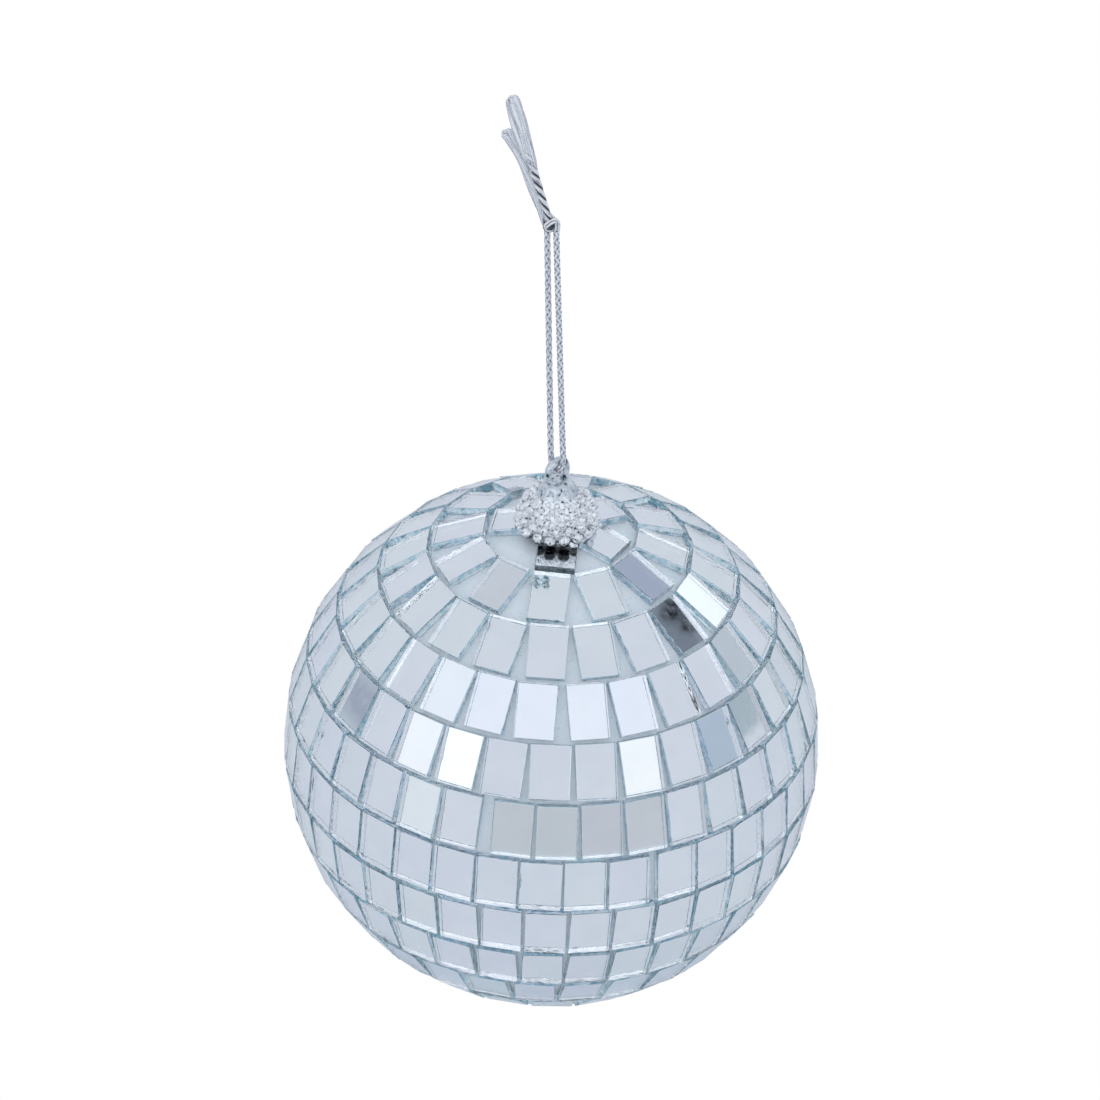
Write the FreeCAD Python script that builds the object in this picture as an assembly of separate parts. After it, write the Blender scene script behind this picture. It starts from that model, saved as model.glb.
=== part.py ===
import FreeCAD, Part
import math
import os
import random

# A hanging mirror ball: a foam core in a glue coat, thirteen rings of glass mirrors, a beaded
# cap with a ring, a peg that holds the cap in the foam, and a knotted cord loop. Millimetres
# and degrees. +Z is up along the cord, and the origin is at the knot's underside, where the
# loop hangs from a hook. Azimuth 0 faces -Y and grows towards +X.

os.makedirs("parts", exist_ok=True)

Vector = FreeCAD.Vector
X_AXIS = Vector(1, 0, 0)
Y_AXIS = Vector(0, 1, 0)
Z_AXIS = Vector(0, 0, 1)

# Ball
BALL_CENTRE = Vector(0, 0, -111.9)
CORE_RADIUS = 47.2
COAT_RADIUS = 48.0
MIRROR_BACK_RADIUS = 48.05      # distance of a mirror's back face from the ball's centre
ROW_TILT = 2.0                  # the rings' axis leans this far towards +X

# Rings of mirrors, counted from the cap down
ROW_COUNT = 13
ROW_START = 3.0                 # polar angle where the first ring would begin
ROW_PITCH = 12.8
MIRROR_WIDTH = 7.5
MIRROR_HEIGHT = 10.3
MIRROR_THICKNESS = 1.5
OTHER_WIDTHS = {2: 7.0, 3: 7.2, 4: 7.3, 7: 7.7}     # rings cut from narrower or wider glass
SIDE_GAP = 0.06                 # least free width each side of a mirror
FIRST_MIRRORS = (-5, 60, 128, 194, 260)     # the short mirrors under the cap, azimuths
FIRST_HEIGHT = 6.8
FIRST_WIDTH = 7.4
FIRST_POLAR = 11.0
ROW_AZIMUTHS = {2: -6.5, 3: -4.4, 4: -6.3, 5: -1.5, 6: -21.2, 7: 16.4, 8: -1.0, 9: -1.4,
                10: -3.0, 11: 2.5, 12: -4.0, 13: 9.0}   # the last mirror laid in each ring
END_GAPS = {4: 1.5, 6: 1.9, 7: 1.3}     # degrees left over where a ring's ends meet
BOTTOM_SIDE = 10.3

# Hand-laid unevenness of the mirrors
UNEVEN_SEED = 7
LEAN = 1.1                      # most a mirror leans out of its tangent plane
MEET = 0.8                      # share of the free width that turning a mirror may use
SLIDE = 0.10                    # most a mirror is off along its meridian
SHORT_TURN = 2.5                # most a mirror with free room round it is turned

# Cap, measured up from its base plane
CAP_X = 1.0
CAP_Y = -0.7
CAP_BASE = 49.4                 # above the ball's centre
CROWN_TOP = 9.5
RECESS_RADIUS = 4.5
RECESS_DEPTH = 3.0
RIM_BEADS = 18
RIM_BEAD_RADIUS = 1.15
RIM_RADIUS = 6.95
RING_CENTRE = 11.3              # centre of the ring's hole
RING_RADIUS = 2.15
RING_BAR_RADIUS = 0.95
HOLE_AZIMUTH = 42.0             # the hole's axis points to the front right

# Peg
PEG_HEAD_RADIUS = 3.2
PEG_HEAD_HEIGHT = 1.2
PEG_RADIUS = 1.5
PEG_LENGTH = 24.0
BARB_RADIUS = 2.4
BARB_HEIGHT = 2.6
BARB_COUNT = 4
BARB_PITCH = 4.4
PEG_TIP = 3.5

# Cord
CORD_RADIUS = 0.55
BEND_RADIUS = 1.7               # of the cord's centre line round the ring's bar
TOP_SPREAD = 1.2                # half the distance between the strands at the knot
STRAND_START = 0.6              # how far the strands go up into the knot
KNOT_HEIGHT = 3.1
KNOT_RADIUS = 1.75
KNOT_BULGE = 1.95
TAIL_RADIUS = 0.7
BRUSH_ROOT_RADIUS = 0.5
BRUSH_END_RADIUS = 1.3
BRUSH_OVERLAP = 0.8             # share of the last run that the round cord reaches
LONG_TAIL = ((-0.3, -0.5, 2.2), (-2.0, -0.45, 8.5), (-3.9, -0.4, 15.4), (-5.65, -0.3, 22.2),
             (-7.1, -0.2, 28.3))
SHORT_TAIL = ((-0.6, 0.95, 2.2), (-3.0, 0.8, 8.0), (-5.4, 0.9, 15.0), (-8.3, 1.0, 20.6))

ROUTE_SHARE = 0.45              # an arc's share of its shorter run

CAP_FOOT = BALL_CENTRE + Vector(CAP_X, CAP_Y, CAP_BASE)
HOLE_CENTRE = CAP_FOOT + Vector(0, 0, RING_CENTRE)
BAR_CENTRE = HOLE_CENTRE + Vector(0, 0, RING_RADIUS)
HOLE_AXIS = Vector(
    math.sin(math.radians(HOLE_AZIMUTH)), -math.cos(math.radians(HOLE_AZIMUTH)), 0)


def save(shape, node):
    """Writes one sub-part's STEP."""
    if not shape.isValid():
        raise ValueError(node + " isn't a valid solid")
    shape.exportStep("parts/" + node + ".step")
    print(f"{node}: {len(shape.Solids)} solids, {shape.Volume:.1f} mm3")


# ---------------------------------------------------------------- core and coat

def ball(radius):
    return Part.makeSphere(radius, BALL_CENTRE)


# ---------------------------------------------------------------- mirrors

def mirror(width, height, polar, azimuth, turn=0.0, lean=0.0, sway=0.0, slide=0.0):
    """One flat mirror with its back face just off the coat."""
    glass = Part.makeBox(
        width, height, MIRROR_THICKNESS, Vector(-width / 2, -height / 2, 0))
    origin = Vector(0, 0, 0)
    glass.rotate(origin, Z_AXIS, turn)
    glass.rotate(origin, X_AXIS, lean)
    glass.rotate(origin, Y_AXIS, sway)
    glass.translate(Vector(0, slide, MIRROR_BACK_RADIUS))
    glass.rotate(origin, X_AXIS, polar)
    glass.rotate(origin, Z_AXIS, azimuth)
    glass.rotate(origin, Y_AXIS, ROW_TILT)
    glass.translate(BALL_CENTRE)
    return glass


def narrow_end(polar, height):
    """Distance from the ring's axis to the mirrors' edge that is nearer to it."""
    angle = math.radians(min(polar, 180 - polar))
    return MIRROR_BACK_RADIUS * math.sin(angle) - height / 2 * math.cos(angle)


def first_row(chance):
    """The few short mirrors round the cap, with bare coat between them."""
    return [
        mirror(FIRST_WIDTH, FIRST_HEIGHT, FIRST_POLAR, azimuth,
               turn=chance.uniform(-1, 1), lean=chance.uniform(-LEAN, LEAN),
               sway=chance.uniform(-LEAN, LEAN))
        for azimuth in FIRST_MIRRORS
    ]


def full_row(row, chance):
    """A ring of as many mirrors as fit side by side, with any rest left where its ends meet."""
    width = OTHER_WIDTHS.get(row, MIRROR_WIDTH)
    polar = ROW_START + ROW_PITCH * (row - 0.5)
    inner = narrow_end(polar, MIRROR_HEIGHT)
    filled = 360 - END_GAPS.get(row, 0)
    count = int(filled / math.degrees(2 * math.atan((width / 2 + SIDE_GAP) / inner)))
    pitch = filled / count
    free = 2 * inner * math.tan(math.radians(pitch / 2)) - width
    most_turn = math.degrees(MEET * free / MIRROR_HEIGHT)
    return [
        mirror(width, MIRROR_HEIGHT, polar, ROW_AZIMUTHS[row] - pitch * i,
               turn=chance.uniform(-most_turn, most_turn),
               lean=chance.uniform(-LEAN, LEAN),
               sway=chance.uniform(-LEAN, LEAN),
               slide=chance.uniform(-SLIDE, SLIDE))
        for i in range(count)
    ]


def bottom_mirror():
    return mirror(BOTTOM_SIDE, BOTTOM_SIDE, 180, 0, turn=SHORT_TURN)


# ---------------------------------------------------------------- cap and peg

def crown():
    """The bell-shaped crown with a glue recess underneath, turned about the cap's axis."""
    rim, waist, neck = 7.0, 4.9, 2.6
    points = [Vector(r, 0, z) for r, z in (
        (RECESS_RADIUS, 0.3), (rim, 0.3), (7.7, 2.3), (rim, 4.6), (waist, 6.6), (neck, 8.3),
        (2.4, CROWN_TOP), (0, CROWN_TOP), (0, RECESS_DEPTH), (RECESS_RADIUS, RECESS_DEPTH))]
    edges = [
        Part.makeLine(points[0], points[1]),
        Part.Arc(points[1], points[2], points[3]).toShape(),
        Part.Arc(points[3], points[4], points[5]).toShape(),
    ]
    corners = points[5:] + [points[0]]
    edges += [Part.makeLine(a, b) for a, b in zip(corners, corners[1:])]
    body = Part.Face(Part.Wire(edges)).revolve(Vector(0, 0, 0), Z_AXIS, 360)
    return body.fuse(rim_beads()).removeSplitter()


def rim_beads():
    beads = []
    for i in range(RIM_BEADS):
        angle = 2 * math.pi * (i + 0.5) / RIM_BEADS
        beads.append(Part.makeSphere(RIM_BEAD_RADIUS, Vector(
            RIM_RADIUS * math.sin(angle), -RIM_RADIUS * math.cos(angle), RIM_BEAD_RADIUS)))
    return beads


def hanger_cap():
    body = crown()
    body.translate(CAP_FOOT)
    return body.fuse(Part.makeTorus(RING_RADIUS, RING_BAR_RADIUS, HOLE_CENTRE, HOLE_AXIS))


def anchor_peg():
    """A flat head in the cap's recess and a barbed shank pushed into the foam."""
    top = CAP_FOOT + Vector(0, 0, RECESS_DEPTH)
    down = -Z_AXIS
    peg = Part.makeCylinder(PEG_HEAD_RADIUS, PEG_HEAD_HEIGHT, top, down)
    shank = Part.makeCylinder(PEG_RADIUS, PEG_LENGTH, top, down)
    tip = Part.makeCone(PEG_RADIUS, 0.3, PEG_TIP, top - Vector(0, 0, PEG_LENGTH), down)
    barbs = []
    for i in range(BARB_COUNT):
        low = top - Vector(0, 0, PEG_LENGTH - i * BARB_PITCH)
        barbs.append(Part.makeCone(PEG_RADIUS, BARB_RADIUS, BARB_HEIGHT, low))
    return peg.fuse([shank, tip] + barbs).removeSplitter()


def cap_glue(peg):
    """Glue that fills the recess and the bare spot under it, down to the coat."""
    low = 46.0
    top = CAP_BASE + RECESS_DEPTH
    plug = Part.makeCylinder(
        RECESS_RADIUS, top - low, BALL_CENTRE + Vector(CAP_X, CAP_Y, low))
    return plug.cut(ball(COAT_RADIUS)).cut(peg)


# ---------------------------------------------------------------- cord

def route_wire(route, name):
    """Straight runs joined by tangent arcs, and its length."""
    edges = []
    radii = []
    start = route[0]
    for before, corner, after in zip(route, route[1:], route[2:]):
        back = (before - corner).normalize()
        ahead = (after - corner).normalize()
        half_turn = (math.pi - back.getAngle(ahead)) / 2
        cut = ROUTE_SHARE * min((before - corner).Length, (after - corner).Length)
        radius = cut / math.tan(half_turn)
        middle = (back + ahead).normalize()
        arc_from = corner + back * cut
        arc_mid = corner + middle * (radius / math.cos(half_turn) - radius)
        arc_to = corner + ahead * cut
        edges.append(Part.LineSegment(start, arc_from).toShape())
        edges.append(Part.Arc(arc_from, arc_mid, arc_to).toShape())
        radii.append(round(radius, 2))
        start = arc_to
    edges.append(Part.LineSegment(start, route[-1]).toShape())
    wire = Part.Wire(edges)
    print(f"{name}: arc radii {radii} mm, length {wire.Length:.2f} mm")
    return wire


def tube(route, radius, name):
    """A round tube along a route, with its volume compared with section times length."""
    wire = route_wire(route, name)
    ahead = (route[1] - route[0]).normalize()
    section = Part.Wire(Part.makeCircle(radius, route[0], ahead))
    solid = wire.makePipeShell([section], True, False)
    expected = math.pi * radius ** 2 * wire.Length
    print(f"{name}: volume {solid.Volume:.2f} mm3, section times length {expected:.2f} mm3")
    return solid


def loop_route():
    """Down one side, round under the ring's bar, and up the other side, in one flat plane."""
    up = Vector(0, 0, 0) - BAR_CENTRE
    up = (up - HOLE_AXIS * up.dot(HOLE_AXIS)).normalize()
    knot_up = (Vector(0, 0, STRAND_START) - BAR_CENTRE).dot(up)
    knot_side = (Vector(0, 0, 0) - BAR_CENTRE).dot(HOLE_AXIS)
    corner = BEND_RADIUS * math.tan(math.radians(22.5))
    flat = ((knot_side - TOP_SPREAD, knot_up), (-BEND_RADIUS, -corner),
            (-corner, -BEND_RADIUS), (corner, -BEND_RADIUS), (BEND_RADIUS, -corner),
            (knot_side + TOP_SPREAD, knot_up))
    return [BAR_CENTRE + HOLE_AXIS * side + up * high for side, high in flat]


def cord_knot():
    """The knot's outer shape, a short barrel."""
    points = [Vector(r, 0, z) for r, z in (
        (0, 0), (KNOT_RADIUS, 0), (KNOT_BULGE, KNOT_HEIGHT / 2), (KNOT_RADIUS, KNOT_HEIGHT),
        (0, KNOT_HEIGHT))]
    edges = [
        Part.makeLine(points[0], points[1]),
        Part.Arc(points[1], points[2], points[3]).toShape(),
        Part.makeLine(points[3], points[4]),
        Part.makeLine(points[4], points[0]),
    ]
    return Part.Face(Part.Wire(edges)).revolve(Vector(0, 0, 0), Z_AXIS, 360)


def frayed_tail(points, name):
    """A cord end whose last run opens out into a brush."""
    route = [Vector(*p) for p in points]
    run = route[-1] - route[-2]
    brush = Part.makeCone(BRUSH_ROOT_RADIUS, BRUSH_END_RADIUS, run.Length, route[-2], run)
    inside_brush = route[:-1] + [route[-2] + run * BRUSH_OVERLAP]
    return tube(inside_brush, TAIL_RADIUS, name).fuse(brush).removeSplitter()


# ---------------------------------------------------------------- all parts

peg = anchor_peg()
save(ball(CORE_RADIUS).cut(peg), "foam_core")
save(ball(COAT_RADIUS).cut(ball(CORE_RADIUS)).cut(peg), "adhesive_coat")

chance = random.Random(UNEVEN_SEED)
save(Part.makeCompound(first_row(chance)), "mirror_row_01")
for row in range(2, ROW_COUNT + 1):
    save(Part.makeCompound(full_row(row, chance)), f"mirror_row_{row:02d}")
save(bottom_mirror(), "bottom_mirror")

save(hanger_cap(), "hanger_cap")
save(peg, "anchor_peg")
save(cap_glue(peg), "cap_glue")

knot = cord_knot()
save(tube(loop_route(), CORD_RADIUS, "cord_loop").cut(knot), "cord_loop")
save(knot, "cord_knot")
save(frayed_tail(LONG_TAIL, "cord_tail_long").cut(knot), "cord_tail_long")
save(frayed_tail(SHORT_TAIL, "cord_tail_short").cut(knot), "cord_tail_short")

print("ring bar centre", BAR_CENTRE, "hole axis", HOLE_AXIS)
print("loop route", [tuple(round(c, 3) for c in p) for p in loop_route()])
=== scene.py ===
import math
import random

import bmesh
import bpy
import numpy as np
from mathutils import Matrix, Vector, noise


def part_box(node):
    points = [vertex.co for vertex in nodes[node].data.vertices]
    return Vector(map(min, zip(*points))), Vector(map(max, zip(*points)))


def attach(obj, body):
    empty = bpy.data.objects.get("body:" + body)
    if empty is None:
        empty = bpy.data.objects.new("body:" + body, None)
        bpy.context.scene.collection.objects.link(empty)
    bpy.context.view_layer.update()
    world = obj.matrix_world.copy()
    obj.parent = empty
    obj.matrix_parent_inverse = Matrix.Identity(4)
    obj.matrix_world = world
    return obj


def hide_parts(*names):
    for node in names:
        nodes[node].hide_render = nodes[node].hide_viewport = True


# A hanging mirror ball. Metres, in the row frame: +Z up along the cord, the origin at the
# knot's underside. Azimuth 0 faces -Y and grows towards +X.

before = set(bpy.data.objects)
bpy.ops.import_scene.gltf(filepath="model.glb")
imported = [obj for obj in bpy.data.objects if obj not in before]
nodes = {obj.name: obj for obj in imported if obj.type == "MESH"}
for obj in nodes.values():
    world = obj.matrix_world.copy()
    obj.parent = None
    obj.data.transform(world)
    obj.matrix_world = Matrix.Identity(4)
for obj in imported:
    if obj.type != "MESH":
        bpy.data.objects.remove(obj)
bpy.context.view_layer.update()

MM = 0.001
UP = Vector((0, 0, 1))

core_low, core_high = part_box("foam_core")
BALL = (core_low + core_high) / 2
cap_low, cap_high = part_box("hanger_cap")
CAP_FOOT = Vector((1.0 * MM, -0.7 * MM, cap_low.z))


def vec(x, y, z):
    """A point given in millimetres."""
    return Vector((x, y, z)) * MM


# ---------------------------------------------------------------- camera

camera = bpy.data.objects.new("camera", bpy.data.cameras.new("camera"))
bpy.context.scene.collection.objects.link(camera)
bpy.context.scene.camera = camera
camera.data.lens = 219.1
camera.data.sensor_width = 36.0
camera.data.clip_start = 0.05
camera.data.clip_end = 200.0
camera.location = BALL + Vector((-0.0003, -1.0033, 0.7455))
camera.rotation_euler = (math.radians(90 - 35), 0, 0)


# ---------------------------------------------------------------- mesh helpers

def new_piece(name, bm, materials, body, replaced=(), smooth=True):
    """Turns a bmesh into a piece that rides on a CAD body. With smooth None, each face keeps
    its own shading."""
    mesh = bpy.data.meshes.new(name)
    bm.to_mesh(mesh)
    bm.free()
    for material in materials:
        mesh.materials.append(material)
    if smooth is not None:
        mesh.polygons.foreach_set("use_smooth", [smooth] * len(mesh.polygons))
    piece = bpy.data.objects.new(name, mesh)
    bpy.context.scene.collection.objects.link(piece)
    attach(piece, body)
    if replaced:
        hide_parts(*replaced)
    return piece


def ring_band(bm, first, second, material=0, flip=False):
    """Joins two closed rings of vertices with quads, and returns the faces."""
    count = len(first)
    faces = []
    for i in range(count):
        j = (i + 1) % count
        corners = (first[i], first[j], second[j], second[i])
        face = bm.faces.new(corners[::-1] if flip else corners)
        face.material_index = material
        faces.append(face)
    return faces


def smoothstep(value):
    value = min(max(value, 0.0), 1.0)
    return value * value * (3 - 2 * value)


# ---------------------------------------------------------------- material helpers

class Nodes:
    """Short calls for building one material's node tree."""

    def __init__(self, name):
        self.material = bpy.data.materials.new(name)
        self.material.use_nodes = True
        self.tree = self.material.node_tree
        self.shader = self.tree.nodes["Principled BSDF"]

    def add(self, kind, **values):
        node = self.tree.nodes.new("ShaderNode" + kind)
        for key, value in values.items():
            if hasattr(node, key):
                setattr(node, key, value)
            else:
                self.put(node, key.replace("_", " "), value)
        return node

    def put(self, node, socket, value):
        if isinstance(value, bpy.types.NodeSocket):
            self.tree.links.new(value, node.inputs[socket])
        else:
            node.inputs[socket].default_value = value

    def set(self, **values):
        """Values or links of the Principled shader."""
        for key, value in values.items():
            self.put(self.shader, key.replace("_", " "), value)

    def coordinates(self):
        return self.add("TexCoord").outputs["Object"]

    def noise(self, scale, detail=3.0, vector=None):
        node = self.add("TexNoise", Scale=scale, Detail=detail)
        self.put(node, "Vector", vector or self.coordinates())
        return node.outputs["Fac"]

    def attribute(self, name):
        return self.add("Attribute", attribute_name=name).outputs["Fac"]

    def maths(self, operation, first, second=0.0):
        node = self.add("Math", operation=operation)
        self.put(node, 0, first)
        self.put(node, 1, second)
        return node.outputs[0]

    def ramp(self, value, *stops):
        """A colour ramp through (position, colour) stops."""
        node = self.add("ValToRGB")
        elements = node.color_ramp.elements
        while len(elements) < len(stops):
            elements.new(0.5)
        for element, (position, colour) in zip(elements, stops):
            element.position = position
            element.color = (*colour, 1)
        self.put(node, "Fac", value)
        return node.outputs["Color"]

    def span(self, value, low, high, to_low, to_high):
        node = self.add("MapRange")
        for socket, number in (("Value", value), ("From Min", low), ("From Max", high),
                               ("To Min", to_low), ("To Max", to_high)):
            self.put(node, socket, number)
        return node.outputs[0]

    def mix(self, factor, first, second, blend="MIX"):
        node = self.add("Mix", data_type="RGBA", blend_type=blend)
        self.put(node, 0, factor)
        self.put(node, 6, first)
        self.put(node, 7, second)
        return node.outputs[2]

    def bump(self, height, strength, distance):
        node = self.add("Bump", Strength=strength, Distance=distance, Height=height)
        self.put(self.shader, "Normal", node.outputs[0])


def grey(r, g, b):
    """A linear colour with alpha."""
    return (r, g, b, 1.0)


# ---------------------------------------------------------------- materials

def glass_material():
    """The clear polished front of a mirror, with the faint ripple of sheet glass."""
    n = Nodes("mirror_glass")
    wave = n.noise(60.0, 2.0)
    n.set(Base_Color=n.mix(n.noise(900.0), grey(0.985, 0.995, 1.0), grey(0.95, 0.965, 0.97)),
          Roughness=n.span(wave, 0.3, 0.7, 0.0, 0.012), IOR=1.52, Transmission_Weight=1.0)
    n.bump(wave, 0.02, 0.0001)
    return n.material


def cut_edge_material():
    """The snapped edge of the glass: partly real greenish, frosted glass, milky in places, and
    partly painted: the dark teal streaks across it are painted shade and the near-white ones painted
    glints.
    """
    n = Nodes("mirror_glass_cut_edge")
    wave = n.noise(2200.0, 3.0)
    streak = n.noise(1100.0, 4.0)
    # Painted shade and painted glints: the streak noise runs from dark teal through pale teal to
    # near-white.
    n.set(Base_Color=n.ramp(streak, (0.38, (0.40, 0.66, 0.76)), (0.47, (0.74, 0.90, 0.95)),
                            (0.58, (0.98, 1.0, 1.0))),
          Roughness=n.span(wave, 0.3, 0.7, 0.0, 0.06), IOR=1.52,
          Transmission_Weight=n.span(streak, 0.38, 0.62, 0.97, 0.86))
    n.bump(wave, 0.18, 0.00008)
    return n.material


def silver_material():
    """The silvering behind the glass: each mirror has its own faint tint."""
    n = Nodes("mirror_silvering")
    tint = n.ramp(n.attribute("mirror_tint"), (0.0, (0.915, 0.915, 0.955)),
                  (0.5, (0.925, 0.935, 0.955)), (1.0, (0.905, 0.935, 0.94)))
    cloud = n.ramp(n.noise(180.0, 4.0), (0.35, (0.965, 0.97, 0.975)), (0.65, (1.0, 1.0, 1.0)))
    n.set(Base_Color=n.mix(1.0, tint, cloud, "MULTIPLY"), Metallic=1.0,
          Roughness=n.span(n.noise(700.0), 0.3, 0.7, 0.0, 0.03))
    return n.material


def paint_material():
    """Grey lacquer behind the silvering."""
    n = Nodes("mirror_backing_paint")
    n.set(Base_Color=n.ramp(n.noise(1500.0), (0.3, (0.50, 0.58, 0.63)), (0.7, (0.66, 0.73, 0.77))),
          Roughness=0.6)
    n.bump(n.noise(4000.0), 0.3, 0.00003)
    return n.material


def coat_material():
    """Silver-grey glue paint on the foam, brushed on unevenly."""
    n = Nodes("silver_glue_coat")
    cloud = n.noise(260.0, 5.0)
    fleck = n.noise(2600.0, 2.0)
    base = n.ramp(cloud, (0.25, (0.84, 0.92, 0.97)), (0.75, (0.94, 0.98, 1.0)))
    spots = n.ramp(fleck, (0.28, (0.62, 0.72, 0.80)), (0.36, (1.0, 1.0, 1.0)))
    n.set(Base_Color=n.mix(1.0, base, spots, "MULTIPLY"), Metallic=0.0,
          Roughness=n.span(cloud, 0.3, 0.7, 0.38, 0.55))
    n.bump(n.noise(1400.0, 4.0), 0.35, 0.0001)
    return n.material


def foam_material():
    """Expanded foam: white beads pressed together."""
    n = Nodes("white_bead_foam")
    cells = n.add("TexVoronoi", feature="DISTANCE_TO_EDGE", Scale=380.0)
    n.put(cells, "Vector", n.coordinates())
    edge = cells.outputs["Distance"]
    n.set(Base_Color=n.ramp(edge, (0.0, (0.72, 0.74, 0.74)), (0.12, (0.90, 0.91, 0.90))),
          Roughness=0.85, Subsurface_Weight=0.15, Subsurface_Scale=0.002)
    n.bump(edge, 0.6, 0.0003)
    return n.material


def peg_material():
    """White moulded plastic with faint flow marks."""
    n = Nodes("white_peg_plastic")
    stretched = n.add("Mapping")
    n.put(stretched, "Vector", n.coordinates())
    n.put(stretched, "Scale", (1, 1, 0.15))
    flow = n.noise(900.0, 3.0, stretched.outputs[0])
    n.set(Base_Color=n.ramp(flow, (0.3, (0.80, 0.81, 0.80)), (0.7, (0.88, 0.89, 0.87))),
          Roughness=n.span(flow, 0.3, 0.7, 0.3, 0.42))
    n.bump(flow, 0.15, 0.00005)
    return n.material


def glue_material():
    """Set hot glue: milky, glossy and a little yellow."""
    n = Nodes("hot_glue")
    cloud = n.noise(600.0, 3.0)
    n.set(Base_Color=n.ramp(cloud, (0.3, (0.74, 0.70, 0.58)), (0.7, (0.86, 0.84, 0.74))),
          Roughness=0.22, Transmission_Weight=0.25, IOR=1.48)
    n.bump(cloud, 0.3, 0.0002)
    return n.material


def plated_material(name, grain, dark_glint_level, dents, shade_dimming):
    """Silver-plated clear plastic: bright, with small near-black flecks that are painted dark glints
    (painted reflections of dark surroundings), and a near-black, dull painted shade under the cap
    wherever the underside attribute is set. The last argument dims the whole plating: a painted
    shade for the darker copy."""
    n = Nodes(name)
    # Painted shade: near black and dull where this attribute is 1, under the cap's foot and the
    # front rim beads.
    painted_shade_below = n.attribute("underside_painted_shade")
    fleck = n.noise(grain, 3.0)
    cloud = n.noise(700.0, 2.0)
    # Painted reflections: below this noise level the colour turns near black, flecks that stand for
    # dark glints; the same noise also varies roughness and bumps.
    silver = n.ramp(fleck, (dark_glint_level, (0.05, 0.07, 0.10)), (dark_glint_level + 0.04, (0.62, 0.66, 0.71)),
                    (dark_glint_level + 0.11, (0.88, 0.91, 0.94)), (dark_glint_level + 0.20, (1.0, 1.0, 1.0)))
    # Painted shade: this colour darkens the whole copy; (1, 1, 1) leaves it unchanged.
    shade = n.ramp(cloud, (0.35, [c * 0.88 for c in shade_dimming]), (0.60, shade_dimming))
    n.set(Base_Color=n.mix(painted_shade_below, n.mix(1.0, silver, shade, "MULTIPLY"),
                           grey(0.004, 0.007, 0.012)),
          Metallic=n.span(painted_shade_below, 0.0, 1.0, 0.72, 0.0),
          Specular_IOR_Level=n.span(painted_shade_below, 0.0, 1.0, 0.8, 0.02),
          Roughness=n.span(fleck, 0.3, 0.7, 0.04, 0.14))
    n.bump(fleck, dents, 0.00012)
    return n.material


def yarn_material(name, dark, light, metal, edge, roughness=(0.42, 0.22)):
    """Metallic yarn: fine bright film filaments, darker towards each strand's two edges, a painted
    shade in the creases where strands meet.
    """
    n = Nodes(name)
    uv = n.add("Attribute", attribute_name="thread").outputs["Vector"]
    stretched = n.add("Mapping")
    n.put(stretched, "Vector", uv)
    n.put(stretched, "Scale", (5.0, 0.8, 1.0))
    streak = n.noise(1.0, 3.0, stretched.outputs[0])
    colour = n.ramp(streak, (0.30, dark), (0.42, [(a + 2 * b) / 3 for a, b in zip(dark, light)]),
                    (0.60, light), (0.70, (1.0, 1.0, 1.0)))
    split = n.add("SeparateXYZ")
    n.put(split, "Vector", uv)
    turn = n.maths("COSINE", n.maths("MULTIPLY", split.outputs["X"], math.tau))
    side = n.maths("POWER", n.maths("ABSOLUTE", turn), 4.0)
    # Painted shade: the edge colour darkens both edges of every strand, where it sinks into the
    # crease beside its neighbour.
    colour = n.mix(side, colour, n.mix(1.0, colour, grey(*edge), "MULTIPLY"))
    n.set(Base_Color=colour, Metallic=metal, Roughness=n.span(streak, 0.35, 0.7, *roughness))
    n.bump(streak, 0.3, 0.00003)
    return n.material


def core_shade_material():
    """A near-black core thread inside the braid and the knot: painted shade, seen through the gaps
    between strands.
    """
    n = Nodes("yarn_core_painted_shade")
    n.set(Base_Color=n.ramp(n.noise(3000.0), (0.3, (0.05, 0.06, 0.09)), (0.7, (0.14, 0.16, 0.21))),
          Roughness=0.7, Metallic=0.4)
    n.bump(n.noise(5000.0), 0.4, 0.00004)
    return n.material


YARN = yarn_material("silver_yarn", (0.50, 0.53, 0.61), (0.97, 0.97, 1.0), 0.3,
                     (0.22, 0.24, 0.31))
# Near-black edges: painted shade, the dark gaps between the knot's wraps and between the twisted
# strands.
GLINT = yarn_material("silver_yarn_glint", (0.22, 0.24, 0.31), (1.0, 1.0, 1.0), 0.80,
                      (0.03, 0.04, 0.07), (0.26, 0.12))
FRAY = yarn_material("silver_film_fray", (0.84, 0.85, 0.91), (0.98, 0.98, 1.0), 0.10,
                     (0.92, 0.93, 0.96))
YARN_CORE_SHADE = core_shade_material()


# ---------------------------------------------------------------- cord

def read_spline(name, points):
    """Points along the smooth NURBS spline that has these control points."""
    curve = bpy.data.curves.new(name, "CURVE")
    curve.dimensions = "3D"
    curve.resolution_u = 40
    spline = curve.splines.new("NURBS")
    spline.points.add(len(points) - 1)
    for point, place in zip(spline.points, points):
        point.co = (*place, 1)
    spline.order_u = 3
    spline.use_endpoint_u = True
    holder = bpy.data.objects.new(name, curve)
    bpy.context.scene.collection.objects.link(holder)
    bpy.context.view_layer.update()
    mesh = bpy.data.meshes.new_from_object(holder)
    path = [v.co.copy() for v in mesh.vertices]
    bpy.data.meshes.remove(mesh)
    bpy.data.objects.remove(holder)
    bpy.data.curves.remove(curve)
    return path


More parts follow.
